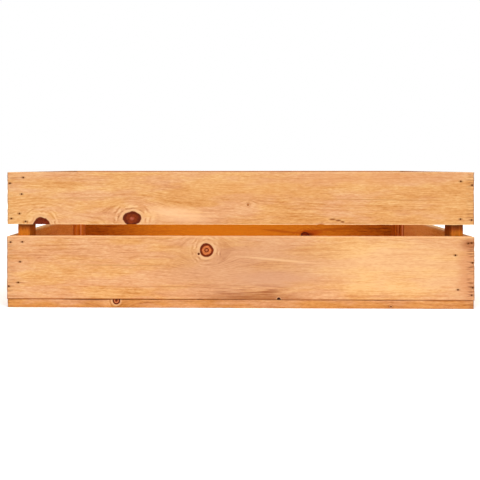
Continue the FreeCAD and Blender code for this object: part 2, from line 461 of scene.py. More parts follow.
class PineCoat:
    """The coat of one piece of pine in the making: each method lays one thing that the eye sees in it."""

    def __init__(self, finish: StainedPine, name: str, bench: Bench, marks: Marks) -> None:
        """Starts an empty material and lays millimetres out on the wood.

        Args:
            finish: the stain's colours and the grain's sizes.
            name: the piece's name.
            bench: how the piece lies.
            marks: its knots, tints and seed.
        """
        self.finish = finish
        self.bench = bench
        self.marks = marks
        self.made, self.add = new_material("stained_pine_" + name)
        self.on_wood = self.add(
            "Mapping",
            {
                "Vector": self.add("TexCoord").outputs["Object"],
                "Location": -(bench.turn @ bench.middle) / MM,
                "Rotation": bench.turn.to_euler(),
                "Scale": (1 / MM,) * 3,
            },
        )
        self.place = self.add("SeparateXYZ", {0: self.on_wood}).outputs

    def dressed(self, heads: Sequence[Vector]) -> bpy.types.Material:
        """Lays everything on the wood, one thing over the other.

        Args:
            heads: the nail heads on it, in the row's frame.

        Returns:
            The material.
        """
        flow, spots, curls = self._round_knots()
        bent = self.add("CombineXYZ", {"X": self.place["X"], "Y": flow, "Z": self.place["Z"]})
        rings = self._rings(flow)
        fibres = self._streaks(self.on_wood, 0, self.finish.fibre, 1.0)

        colour = self._stained(self._stain_depth(bent, rings, fibres, curls))
        colour = self._tinted(colour)
        colour = self._soaked_ends(colour)
        colour = self._knotted(colour, spots)
        # painted shade on the inside faces
        colour = self._painted_inner_shade(colour)
        colour = self._nail_stained(colour, heads)

        height = self.add("Math", {0: rings, 1: 0.4, 2: fibres}, operation="MULTIPLY_ADD")
        bump = self.add("Bump", {"Height": height, "Strength": 0.3, "Distance": self.finish.relief})
        oiled, dry = self.finish.roughness
        roughness = {"Value": fibres, "From Min": 0.3, "From Max": 0.7, "To Min": oiled, "To Max": dry}
        shader = self.add(
            "BsdfPrincipled",
            {
                "Base Color": colour,
                "Roughness": self.add("MapRange", roughness),
                "Normal": bump,
                "IOR": self.finish.ior,
                "Specular IOR Level": self.finish.sheen,
            },
        )
        self.add("OutputMaterial", {"Surface": shader})
        return self.made

    def _streaks(
        self, place: bpy.types.Node, seed: float, sizes: Sequence[float], detail: float
    ) -> bpy.types.Node:
        """A cloudy pattern drawn out along the grain.

        Args:
            place: where on the wood, in mm.
            seed: which of the piece's patterns it is.
            sizes: a patch's size along and across the wood, and through it if that differs, in mm.
            detail: how many finer layers it has.

        Returns:
            The node that gives the pattern, around 0.5.
        """
        sizes = (*sizes, sizes[-1])[:3]
        scaled = self.add("VectorMath", {0: place, 1: [1 / size for size in sizes]}, operation="MULTIPLY")
        inputs = {"Vector": scaled, "W": self.marks.seed + seed, "Scale": 1.0, "Detail": detail}
        return self.add("TexNoise", {**inputs, "Roughness": 0.55}, noise_dimensions="4D")

    def _round_knots(self) -> tuple[object, list[bpy.types.Node], object]:
        """Bends the grain round the knots, as water flows round a post, and curls it close by.

        Returns:
            The bent distance across the wood, each knot's distance in its own radii, and the close curls.
        """
        flow, spots, curls = self.place["Y"], [], 0.0
        bays = self.finish.bays
        wobble = self._streaks(self.on_wood, 5, self.finish.wobble, 2.0)
        torn = self._streaks(self.on_wood, 10, self.finish.torn, 1.0)
        turns = self.add("Math", {0: torn, 1: self.finish.fray}, operation="MULTIPLY")
        broken = self.add("MapRange", {"Value": torn, "From Min": 0.4, "From Max": 0.62}, **SOFTLY)
        for knot in self.marks.knots:
            centre = self.bench.from_corner(knot.along, knot.across)
            away = self.add("VectorMath", {0: self.on_wood, 1: centre}, operation="SUBTRACT")
            place = self.add("SeparateXYZ", {0: away}).outputs
            flat = self.add("VectorMath", {0: away, 1: (1 / knot.length, 1, 0)}, operation="MULTIPLY")
            radii = self.add("VectorMath", {0: flat}, operation="LENGTH")
            radii = self.add("Math", {0: radii, 1: 1 / knot.radius, 2: -bays / 2}, operation="MULTIPLY_ADD")
            for source, share in ((place["Z"], -knot.taper), (wobble, bays)):
                radii = self.add("Math", {0: source, 1: share, 2: radii}, operation="MULTIPLY_ADD")
            spots.append(radii)

            pace = 2 * math.pi * knot.radius / self.finish.curl
            curl = self.add("Math", {0: radii, 1: pace, 2: turns}, operation="MULTIPLY_ADD")
            curl = self.add("Math", {0: curl}, operation="SINE")
            near = {"Value": radii, "From Min": 2.9, "From Max": 1.1, "To Max": knot.curled}
            near = self.add("MapRange", near, **SOFTLY)
            near = self.add("Math", {0: near, 1: broken}, operation="MULTIPLY")
            curls = self.add("Math", {0: curl, 1: near, 2: curls}, operation="MULTIPLY_ADD")

            long = self.add("VectorMath", {0: away, 1: (self.finish.swing, 1, 0)}, operation="MULTIPLY")
            far = self.add("VectorMath", {0: long}, operation="LENGTH")
            reach = {0: knot.reach * knot.radius, 1: far}
            share = self.add("Math", reach, operation="DIVIDE", use_clamp=True)
            share = self.add("Math", {0: share, 1: 2.0}, operation="POWER")
            push = self.add("Math", {0: place["Y"], 1: share}, operation="MULTIPLY")
            flow = self.add("Math", {0: flow, 1: push}, operation="SUBTRACT")
        return flow, spots, curls

    def _rings(self, flow: object) -> bpy.types.Node:
        """The growth rings, from 0 in early wood to 1 in late wood, along the bent grain."""
        finish, pith = self.finish, self.marks.pith
        slow = self._streaks(self.on_wood, 1, finish.sway, 1.0)
        quick = self._streaks(self.on_wood, 2, finish.wave, 1.5)
        strayed = self.add("Math", {0: slow, 1: 2 * finish.wander, 2: flow}, operation="MULTIPLY_ADD")
        rippled = self.add("Math", {0: quick, 1: 2 * finish.ripple, 2: strayed}, operation="MULTIPLY_ADD")
        across = self.add("Math", {0: rippled, 1: pith[0]}, operation="SUBTRACT")
        out = self.add("Math", {0: self.place["Z"], 1: pith[1]}, operation="SUBTRACT")
        from_pith = self.add("CombineXYZ", {"X": across, "Y": out})
        radius = self.add("VectorMath", {0: from_pith}, operation="LENGTH")
        thicker = {0: self.place["X"], 1: finish.thickening, 2: radius}
        stem = self.add("Math", thicker, operation="MULTIPLY_ADD")
        years = self.add("Math", {0: stem, 1: finish.ring}, operation="DIVIDE")
        pace, shift = finish.years
        lean = self.add("TexNoise", {"W": years, "Scale": pace, "Detail": 1.0}, noise_dimensions="1D")
        uneven = self.add("Math", {0: lean, 1: shift, 2: years}, operation="MULTIPLY_ADD")
        year = self.add("Math", {0: uneven}, operation="FRACT")
        greys = ((0.0, 0.45), (0.14, 0.0), (0.45, 0.12), (0.8, 1.0), (1.0, 0.45))
        ramp = self.add("ValToRGB", {0: year}, [(at, (grey, grey, grey, 1)) for at, grey in greys])
        ramp.color_ramp.interpolation = "EASE"
        return ramp

    def _stain_depth(
        self, bent: bpy.types.Node, rings: bpy.types.Node, fibres: bpy.types.Node, curls: object
    ) -> bpy.types.Node:
        """How deep the stain has gone, around 0.4.

        Args:
            bent: the place on the wood, bent round the knots.
            rings: the growth rings.
            fibres: the fine fibres.
            curls: the curls close to the knots.

        Returns:
            The node that adds up dashes, patches, fibres, late wood lines, rings, curls, soaked places, and
            painted shade and light.
        """
        finish = self.finish
        patches = self._streaks(self.on_wood, 6, finish.clear, 1.0)
        plain = {"Value": patches, "From Min": 0.4, "From Max": 0.65, "To Max": 0.2}
        ringed = self.add("Math", {0: rings, 1: self.add("MapRange", plain, **SOFTLY)}, operation="MULTIPLY")
        lines = self._streaks(bent, 11, finish.line, 1.0)
        lined = {"Value": lines, "From Min": 0.56, "From Max": 0.7, "To Max": finish.lined}
        dashes = self._streaks(bent, 3, finish.dash, 2.0)
        blotches = self._streaks(self.on_wood, 4, finish.blotch, 2.0)
        start = finish.usual + self.marks.stain - sum(finish.shares) / 2
        depth = self.add("Math", {0: ringed, 1: start}, operation="ADD")
        for source, share in zip((dashes, blotches, fibres), finish.shares):
            depth = self.add("Math", {0: source, 1: share, 2: depth}, operation="MULTIPLY_ADD")
        for extra in (curls, self.add("MapRange", lined, **SOFTLY)):
            depth = self.add("Math", {0: depth, 1: extra}, operation="ADD")
        # real patches of deeper or lighter stain, and in some places painted shade and painted light
        for soak in self.marks.soaks:
            share = self._oval(soak)
            depth = self.add("Math", {0: share, 1: soak.change, 2: depth}, operation="MULTIPLY_ADD")
        return depth

    def _stained(self, depth: bpy.types.Node) -> bpy.types.Node:
        """The stain's colour at its depth, in patches of gold and rose."""
        coats = []
        for codes in (self.finish.golden, self.finish.rose):
            stops = [(at, linear(code)) for at, code in zip(self.finish.stops, codes)]
            coats.append(self.add("ValToRGB", {0: depth}, stops))
        clouds = self._streaks(self.on_wood, 7, self.finish.area, 4.0)
        middle = 0.6 - 0.2 * self.marks.rosy
        rosy = {"Value": clouds, "From Min": middle - 0.1, "From Max": middle + 0.1}
        rosy = self.add("MapRange", rosy, **SOFTLY)
        return self.add("Mix", {"Factor": rosy, "A": coats[0], "B": coats[1]}, **IN_COLOUR)

    def _oval(self, patch: Patch) -> bpy.types.Node:
        """A soft oval, 1 in its middle and 0 outside."""
        frame = {
            "Vector": self.on_wood,
            "Location": self.bench.from_corner(patch.along, patch.across),
            "Rotation": (0, 0, math.radians(patch.tilt)),
            "Scale": (patch.half_length, patch.half_width, 1.0),
        }
        sized = self.add("Mapping", frame, vector_type="TEXTURE")
        flat = self.add("VectorMath", {0: sized, 1: (1, 1, 0)}, operation="MULTIPLY")
        distance = self.add("VectorMath", {0: flat}, operation="LENGTH")
        return self.add("MapRange", {"Value": distance, "From Min": 1.0, "From Max": 0.25}, **SOFTLY)

    def _tinted(self, colour: bpy.types.Node) -> bpy.types.Node:
        """Lays the board's tints over it: patches of its own colour, and on some boards painted shade and
        highlights.
        """
        for tint in self.marks.tints:
            share = self.add("Math", {0: self._oval(tint), 1: tint.share}, operation="MULTIPLY")
            if tint.streaky:
                streaks = self._streaks(self.on_wood, tint.along, self.finish.brush, 1.0)
                broken = {"Value": streaks, "From Min": 0.42, "From Max": 0.6}
                broken = self.add("MapRange", broken, **SOFTLY)
                share = self.add("Math", {0: share, 1: broken}, operation="MULTIPLY")
            colour = self.add("Mix", {"Factor": share, "A": colour, "B": linear(tint.colour)}, **IN_COLOUR)
        return colour

    def _painted_inner_shade(self, colour: bpy.types.Node) -> bpy.types.Node:
        """Paints shade into the face that turns to the inside, darker and redder, and fades it out near the
        long edges.
        """
        back = -self.bench.half.z / MM
        edge = self.bench.half.y / MM
        starts, full = self.finish.inner_shade_reach
        across = self.add("Math", {0: self.place["Y"]}, operation="ABSOLUTE")
        inner = (self.place["Z"], back + starts, back + full)
        share = 1.0
        for value, start, stop in (inner, (across, edge, edge - self.finish.inner_shade_margin)):
            near = self.add("MapRange", {"Value": value, "From Min": start, "From Max": stop}, **SOFTLY)
            share = self.add("Math", {0: near, 1: share}, operation="MULTIPLY")
        inputs = {"Factor": share, "A": colour, "B": self.finish.deep}
        return self.add("Mix", inputs, **IN_COLOUR, blend_type="MULTIPLY")

    def _soaked_ends(self, colour: bpy.types.Node) -> bpy.types.Node:
        """Darkens the end grain, and the edges a little, and draws short dark splits in from each end."""
        finish, half = self.finish, self.bench.half / MM
        closed, widest = finish.split
        splits = self._streaks(self.on_wood, 8, finish.crack, 1.0)
        opened = self.add("MapRange", {"Value": splits, "From Min": 0.47, "From Max": 0.66}, **SOFTLY)
        shares = []
        for strength, sign in zip(self.marks.splits, (-1, 1)):
            end = sign * half.x
            near = {"From Min": end - closed * sign, "From Max": end - widest * sign, "To Max": strength}
            near = self.add("MapRange", {"Value": self.place["X"], **near}, **SOFTLY)
            shares.append(self.add("Math", {0: near, 1: opened}, operation="MULTIPLY"))
        for axis, end, (depth, strength) in (("X", half.x, finish.ends), ("Y", half.y, finish.edges)):
            reach = self.add("Math", {0: self.place[axis]}, operation="ABSOLUTE")
            near = {"Value": reach, "From Min": end - depth, "From Max": end - 0.3, "To Max": strength}
            shares.append(self.add("MapRange", near, **SOFTLY))
        for share in shares:
            inputs = {"Factor": share, "A": colour, "B": linear(finish.soak)}
            colour = self.add("Mix", inputs, **IN_COLOUR)
        return colour

    def _knotted(self, colour: bpy.types.Node, spots: Sequence[bpy.types.Node]) -> bpy.types.Node:
        """Sets the knots into the wood: a heart, rings of flesh, a dark rim and a pale halo."""
        grit = self._streaks(self.on_wood, 9, self.finish.grit, 1.0)
        gritty = self.add(
            "MapRange", {"Value": grit, "From Min": 0.3, "From Max": 0.7, "To Min": 1.3, "To Max": 0.75}
        )
        for knot, radii in zip(self.marks.knots, spots):
            pale = {"Value": radii, "From Min": 1.75, "From Max": 1.1, "To Max": knot.pale}
            pale = self.add("MapRange", pale, **SOFTLY)
            halo = {"Factor": pale, "A": colour, "B": linear(self.finish.halo)}
            colour = self.add("Mix", halo, **IN_COLOUR)
            ramp = self.add("ValToRGB", {0: radii}, [(at, linear(code)) for at, code in knot.bands])
            shaded = self.add("VectorMath", {0: ramp, "Scale": gritty}, operation="SCALE")
            inside = self.add("MapRange", {"Value": radii, "From Min": 1.07, "From Max": 0.95}, **SOFTLY)
            colour = self.add("Mix", {"Factor": inside, "A": colour, "B": shaded}, **IN_COLOUR)
        return colour

    def _nail_stained(self, colour: bpy.types.Node, heads: Sequence[Vector]) -> bpy.types.Node:
        """Rings each nail with the brown that iron draws out of damp wood, drawn out along the grain."""
        drawn = self.add("VectorMath", {0: self.on_wood, 1: (0.5, 1, 1)}, operation="MULTIPLY")
        nearest = 1000.0  # mm, farther than any nail
        for head in heads:
            place = self.bench.on_wood(head)
            inputs = {0: drawn, 1: (0.5 * place.x, place.y, place.z)}
            distance = self.add("VectorMath", inputs, operation="DISTANCE")
            nearest = self.add("Math", {0: distance, 1: nearest}, operation="MINIMUM")
        outer, inner, share = self.finish.iron
        near = {"Value": nearest, "From Min": outer, "From Max": inner, "To Max": share}
        near = self.add("MapRange", near, **SOFTLY)
        return self.add("Mix", {"Factor": near, "A": colour, "B": linear(self.finish.soak)}, **IN_COLOUR)


@dataclass(frozen=True)
class OxidisedSteel:
    """Drawn mild steel wire, gone brown in damp wood: a dark, dull metal with rust in its pits."""

    dark: str = "4A2206"
    rust: str = "80420F"
    pit: float = 0.5  # rust pit, mm
    pit_depth: float = 0.05 * MM
    metallic: float = 0.3  # the rest of the surface is oxide
    sheen: float = 0.2
    roughness: tuple[float, float] = (0.55, 0.85)  # of the bare wire and of its rust

    def material(self) -> bpy.types.Material:
        """Makes the nails' metal."""
        made, add = new_material("oxidised_steel_wire")
        where = {"Vector": add("TexCoord").outputs["Object"], "Scale": 1 / (self.pit * MM), "Detail": 2.0}
        pits = add("TexNoise", where)
        bare, rusted = self.roughness
        share = add("MapRange", {"Value": pits, "From Min": 0.45, "From Max": 0.62})
        inputs = {"Factor": share, "A": linear(self.dark), "B": linear(self.rust)}
        shader = add(
            "BsdfPrincipled",
            {
                "Base Color": add("Mix", inputs, **IN_COLOUR),
                "Metallic": self.metallic,
                "Roughness": add("MapRange", {"Value": share, "To Min": bare, "To Max": rusted}),
                "Specular IOR Level": self.sheen,
                "Normal": add("Bump", {"Height": pits, "Strength": 0.3, "Distance": self.pit_depth}),
            },
        )
        add("OutputMaterial", {"Surface": shader})
        return made


@dataclass(frozen=True)
class PaperFloor:
    """A roll of matt white studio paper on a light table, very faintly mottled and glowing a little."""

    light: str = "FBFAF8"
    shade: str = "F6F4F1"
    mottle: float = 40.0  # a faint patch, mm
    roughness: float = 0.9
    sheen: float = 0.2
    glow: float = 0.14  # the light table's share

    def material(self) -> bpy.types.Material:
        """Makes the floor's paper."""
        made, add = new_material("studio_paper")
        where = {"Vector": add("TexCoord").outputs["Object"], "Scale": 1 / (self.mottle * MM), "Detail": 3.0}
        inputs = {"Factor": add("TexNoise", where), "A": linear(self.light), "B": linear(self.shade)}
        shader = add(
            "BsdfPrincipled",
            {
                "Base Color": add("Mix", inputs, **IN_COLOUR),
                "Roughness": self.roughness,
                "Specular IOR Level": self.sheen,
                "Emission Color": (1.0, 1.0, 1.0, 1.0),
                "Emission Strength": self.glow,
            },
        )
        add("OutputMaterial", {"Surface": shader})
        return made


# ---------------------------------------------------------------- nails


@dataclass(frozen=True)
class Brad:
    """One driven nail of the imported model: where its head lies, which way it points and how long it is."""

    head: Vector
    inward: Vector
    length: float
    head_radius: float

    @property
    def place(self) -> Matrix:
        """The matrix that carries a nail, modelled head up at the origin, to its place."""
        turn = (-self.inward).to_track_quat("Z", "Y").to_matrix().to_4x4()
        return Matrix.Translation(self.head) @ turn


@dataclass
class NailSet:
    """All the crate's nails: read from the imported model, then modelled as wire brads."""

    shank_radius: float = 0.7 * MM
    head_thickness: float = 0.7 * MM
    point_length: float = 2.0 * MM
    point_width: float = 0.12  # share of the shank's width
    head_edge: float = 0.12 * MM
    grip_count: int = 5
    grip_pitch: float = 0.5 * MM
    grip_depth: float = 0.08  # share of the shank's radius
    sides: int = 16
    smooth: float = math.radians(35)  # the sharpest edge that looks round
    hole_clearance: float = 0.02 * MM
    hole_shoulder: float = 0.05 * MM  # the slope under the head's seat
    hole_mouth: float = 2.0 * MM  # how far the cutter stands out of the wood

    def read(self, node: str) -> list[Brad]:
        """Finds each nail of one node, by parting a copy of its mesh.

        Args:
            node: the nails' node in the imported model.

        Returns:
            The nails.
        """
        with editing(copy_of(bpy.data.objects[node], "nails_apart"), "VERT"):
            bpy.ops.mesh.select_all(action="SELECT")
            bpy.ops.mesh.remove_doubles(threshold=SAME_PLACE)
            bpy.ops.mesh.separate(type="LOOSE")
        inward = Vector(INWARD[node.split("_")[0]])
        found = []
        for part in list(bpy.context.selected_objects):
            low, high = box_of(part)
            size = high - low
            length = abs(size.dot(inward))
            radius = sorted(size)[1] / 2
            found.append(Brad((low + high) / 2 - inward * length / 2, inward, length, radius))
            bpy.data.objects.remove(part)
        return found

    def _turned(self, name: str, length: float, grow: float) -> bpy.types.Object:
        """A shank hanging below the origin, with its point drawn and its top face selected."""
        deselect_all()
        shank = length - self.head_thickness
        bpy.ops.mesh.primitive_cylinder_add(
            vertices=self.sides,
            radius=self.shank_radius + grow,
            depth=shank - self.point_length,
            location=(0, 0, -self.head_thickness - (shank - self.point_length) / 2),
        )
        nail = bpy.context.object
        nail.name = name
        settle(nail, Matrix.Translation(nail.location))
        select_faces(nail, [face.normal.z < -0.9 for face in nail.data.polygons])
        with editing(nail):
            extrude(-self.point_length, self.point_width)
        select_faces(nail, [face.normal.z > 0.9 for face in nail.data.polygons])
        return nail

    def model(self, length: float, head_radius: float) -> bpy.types.Object:
        """Models one brad, head up at the origin: a point, a gripped shank and a flat head.

        Args:
            length: from the head's top to the point.
            head_radius: half the head's width.

        Returns:
            The brad.
        """
        nail = self._turned("brad", length, 0.0)
        waist = 1 - self.grip_depth
        with editing(nail):
            bpy.ops.transform.translate(value=(0, 0, -2 * self.grip_count * self.grip_pitch))
            for scale in (waist, 1 / waist) * self.grip_count:
                extrude(self.grip_pitch, scale)
            extrude(0, head_radius / self.shank_radius)
            extrude(self.head_thickness)
            bpy.ops.mesh.inset(thickness=self.head_edge, depth=0)
            bpy.ops.mesh.inset(thickness=2 * self.head_edge, depth=-self.head_edge / 2)
            bpy.ops.mesh.select_all(action="SELECT")
            bpy.ops.mesh.remove_doubles(threshold=SAME_PLACE)
            face_outwards()
        return nail

    def hole(self, length: float, head_radius: float) -> bpy.types.Object:
        """Models the hole that a brad stands in, with a mouth that clears the wood's face."""
        cutter = self._turned("hole", length, self.hole_clearance)
        flare = (head_radius + self.hole_clearance) / (self.shank_radius + self.hole_clearance)
        with editing(cutter):
            bpy.ops.transform.translate(value=(0, 0, -self.hole_clearance))
            extrude(self.hole_shoulder, flare)
            extrude(self.head_thickness + self.hole_mouth)
            face_outwards()
        return cutter

    @staticmethod
    def spread(pattern: bpy.types.Object, brads: Sequence[Brad], name: str) -> bpy.types.Object:
        """Copies a pattern to each nail's place and joins the copies.

        Args:
            pattern: a nail or a hole, head up at the origin.
            brads: the places.
            name: the joined object's name.

        Returns:
            The joined object, settled at the origin.
        """
        copies = [copy_of(pattern, name) for _ in brads]
        for copy, brad in zip(copies, brads):
            settle(copy, brad.place)
        pick(*copies)
        if len(copies) > 1:
            bpy.ops.object.join()
        joined = bpy.context.view_layer.objects.active
        joined.name = name
        return joined

    def build(self, node: str, brads: Sequence[Brad], metal: bpy.types.Material) -> bpy.types.Object:
        """Models and dresses one node's nails.

        Args:
            node: the nails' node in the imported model.
            brads: its nails.
            metal: their material.

        Returns:
            The piece that stands for the node.
        """
        pattern = self.model(brads[0].length, brads[0].head_radius)
        piece = self.spread(pattern, brads, node.replace("nails", "brads"))
        bpy.data.objects.remove(pattern)
        pick(piece)
        bpy.ops.object.shade_smooth_by_angle(angle=self.smooth)
        piece.data.materials.append(metal)
        return finished(piece, node)


def finished(piece: bpy.types.Object, node: str) -> bpy.types.Object:
    """Attaches a piece to the crate's body, hides the node that it stands for and logs its triangles."""
    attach(piece, BODY)
    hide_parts(node)
    mesh = piece.data
    mesh.calc_loop_triangles()
    log.info("%s: %d triangles", piece.name, len(mesh.loop_triangles))
    return piece


# ---------------------------------------------------------------- boards and posts


@dataclass
class WoodShop:
    """Cuts, wears and drills one piece of wood at a time."""

    cell: float = 2.5 * MM  # mesh cell on a face
    layers: int = 4  # cells through the thickness
    edge_round: float = 0.45 * MM
    edge_steps: int = 3
    sharp: float = math.radians(60)  # an edge that is rounded
    smooth: float = math.radians(40)  # the sharpest edge that looks round
    unevenness: float = 0.22 * MM  # how deep the planed faces dip
    unevenness_length: float = 110 * MM
    wear: float = 0.4 * MM  # how deep the edges are chipped
    wear_length: float = 7 * MM
    rag: float = 0.3 * MM  # how deep the sawn ends are torn
    rag_length: float = 3.5 * MM
    knot_groove: float = 0.25 * MM  # how deep a knot has shrunk away from the wood round it
    knot_groove_width: float = 0.12  # share of the knot's radius
    knot_reach: float = 1.35  # how far round a knot the mesh is finer, in radii
    nick: float = 2.0 * MM  # the deepest nick in a lower edge
    nails: NailSet = field(default_factory=NailSet)

    def cut(self, name: str, bench: Bench, marks: Marks, brads: Sequence[Brad]) -> bpy.types.Object:
        """Makes one piece of wood, from a grid to a drilled board in its place.

        Args:
            name: the piece's name.
            bench: how and where it lies.
            marks: its knots and nicks.
            brads: every nail of the crate.

        Returns:
            The piece, without its material.
        """
        piece = self._blank(name, bench)
        self._ease_edges(piece)
        for knot in marks.knots:
            self._refine(piece, bench, knot)
        self._weigh(piece, bench, marks)
        settle(piece, bench.place)
        self._weather(piece)
        self._drill(piece, brads)
        pick(piece)
        bpy.ops.object.shade_smooth_by_angle(angle=self.smooth)
        return piece

    def _blank(self, name: str, bench: Bench) -> bpy.types.Object:
        """A closed block of the bench's size, face up, divided into cells."""
        counts = [max(2, round(2 * half / self.cell)) for half in bench.half.xy]
        deselect_all()
        bpy.ops.mesh.primitive_grid_add(
            x_subdivisions=counts[0], y_subdivisions=counts[1], size=1, location=(0, 0, -bench.half.z)
        )
        piece = bpy.context.object
        piece.name = name
        settle(piece, Matrix.LocRotScale(piece.location, None, (2 * bench.half.x, 2 * bench.half.y, 1)))
        with editing(piece):
            bpy.ops.mesh.select_all(action="SELECT")
            for _ in range(self.layers):
                extrude(2 * bench.half.z / self.layers)
            face_outwards()
        return piece

    def _ease_edges(self, piece: bpy.types.Object) -> None:
        """Rounds the long edges and the ends' edges."""
        with editing(piece, "EDGE"):
            bpy.ops.mesh.select_all(action="DESELECT")
            bpy.ops.mesh.edges_select_sharp(sharpness=self.sharp)
            bpy.ops.mesh.bevel(
                offset=self.edge_round, segments=self.edge_steps, affect="EDGES", clamp_overlap=True
            )

    def _refine(self, piece: bpy.types.Object, bench: Bench, knot: Knot) -> None:
        """Divides the cells of both faces round a knot."""
        centre = bench.from_corner(knot.along, knot.across) * MM
        reach = self.knot_reach * knot.radius * MM
        faces = piece.data.polygons
        near = [abs(face.normal.z) > 0.9 and (face.center - centre).xy.length < reach for face in faces]
        select_faces(piece, near)
        with editing(piece):
            bpy.ops.mesh.subdivide(number_cuts=2)

    def _weigh(self, piece: bpy.types.Object, bench: Bench, marks: Marks) -> None:
        """Notes how much each point takes part in worn edges, torn ends, shrunken knots and nicks."""
        groups = {name: piece.vertex_groups.new(name=name) for name in ("edges", "ends", "knots", "nicks")}
        near = 1.4 * self.edge_round
        for vertex in piece.data.vertices:
            spare = [half - abs(at) for half, at in zip(bench.half, vertex.co)]
            if sum(distance < near for distance in spare) >= 2:
                groups["edges"].add([vertex.index], 1.0, "REPLACE")
            if spare[0] < near:
                groups["ends"].add([vertex.index], 1.0, "REPLACE")
            for along, half_length, depth in marks.nicks:
                away = (vertex.co.x / MM + bench.half.x / MM - along) / half_length
                if vertex.co.y < near - bench.half.y and abs(away) < 2:
                    share = math.exp(-away * away) * depth * MM / self.nick
                    groups["nicks"].add([vertex.index], share, "REPLACE")
            depth = 0.0
            for knot in marks.knots:
                centre = bench.from_corner(knot.along, knot.across) * MM
                radii = (vertex.co - centre).xy.length / (knot.radius * MM)
                groove = math.exp(-(((radii - 1) / self.knot_groove_width) ** 2))
                depth = max(depth, groove, 0.5 * max(0.0, 1 - radii))
            if depth > 0.02:
                groups["knots"].add([vertex.index], min(1.0, depth), "REPLACE")

    def _weather(self, piece: bpy.types.Object) -> None:
        """Sinks the surface, never raises it: uneven planing, chipped edges, torn ends, shrunken knots."""
        for name, depth, length, group, contrast, level in (
            ("planing", self.unevenness, self.unevenness_length, "", 1.2, 0.85),
            ("chips", self.wear, self.wear_length, "edges", 2.4, 0.65),
            ("tears", self.rag, self.rag_length, "ends", 2.0, 0.7),
        ):
            clouds = bpy.data.textures.new(name, "CLOUDS")
            clouds.noise_scale = length
            clouds.noise_depth = 2
            clouds.contrast = contrast
            clouds.intensity = level
            clouds.use_clamp = True
            self._sink(piece, name, depth, group, clouds)
        self._sink(piece, "shrink", self.knot_groove, "knots")
        self._sink(piece, "nick", self.nick, "nicks")

    @staticmethod
    def _sink(
        piece: bpy.types.Object, name: str, depth: float, group: str, clouds: bpy.types.Texture | None = None
    ) -> None:
        """Sinks a group's surface by up to a depth, as clouds lie over it or all alike."""
        sink = piece.modifiers.new(name, "DISPLACE")
        sink.texture = clouds
        sink.texture_coords = "GLOBAL"
        sink.strength = -depth
        sink.mid_level = 0.0
        sink.vertex_group = group
        apply_modifier(piece, name)

    def _drill(self, piece: bpy.types.Object, brads: Sequence[Brad]) -> None:
        """Cuts the hole of each nail that passes through the piece."""
        box = box_of(piece)
        inside = [brad for brad in brads if self._meets(brad, *box)]
        for length in sorted({brad.length for brad in inside}):
            same = [brad for brad in inside if brad.length == length]
            pattern = self.nails.hole(length, same[0].head_radius)
            cutter = self.nails.spread(pattern, same, "holes")
            cut = piece.modifiers.new("drill", "BOOLEAN")
            cut.operation = "DIFFERENCE"
            cut.solver = "MANIFOLD"
            cut.object = cutter
            apply_modifier(piece, "drill")
            bpy.data.objects.remove(cutter)
            bpy.data.objects.remove(pattern)

    @staticmethod
    def _meets(brad: Brad, low: Vector, high: Vector) -> bool:
        """Whether a nail's line passes through a box."""
        tip = brad.head + brad.inward * brad.length
        return all(
            min(start, end) < top and max(start, end) > bottom
            for start, end, bottom, top in zip(brad.head, tip, low, high)
        )


@dataclass
class WoodenPart:
    """A sub-assembly of boards or posts that share a finish and a slot."""

    slot: str
    finish: StainedPine
    pieces: dict[str, tuple[Facing, Marks]]

    def build(self, shop: WoodShop, brads: Sequence[Brad]) -> list[bpy.types.Object]:
        """Cuts and dresses every piece.

        Args:
            shop: what cuts the wood.
            brads: every nail of the crate.

        Returns:
            The pieces.
        """
        made = []
        for node, (facing, marks) in self.pieces.items():
            bench = Bench.of(node, facing)
            piece = shop.cut("pine_" + node, bench, marks, brads)
            heads = [brad.head for brad in brads if bench.shows(brad.head)]
            piece.data.materials.clear()
            piece.data.materials.append(self.finish.material(node, bench, marks, heads))
            made.append(finished(piece, node))
        return made


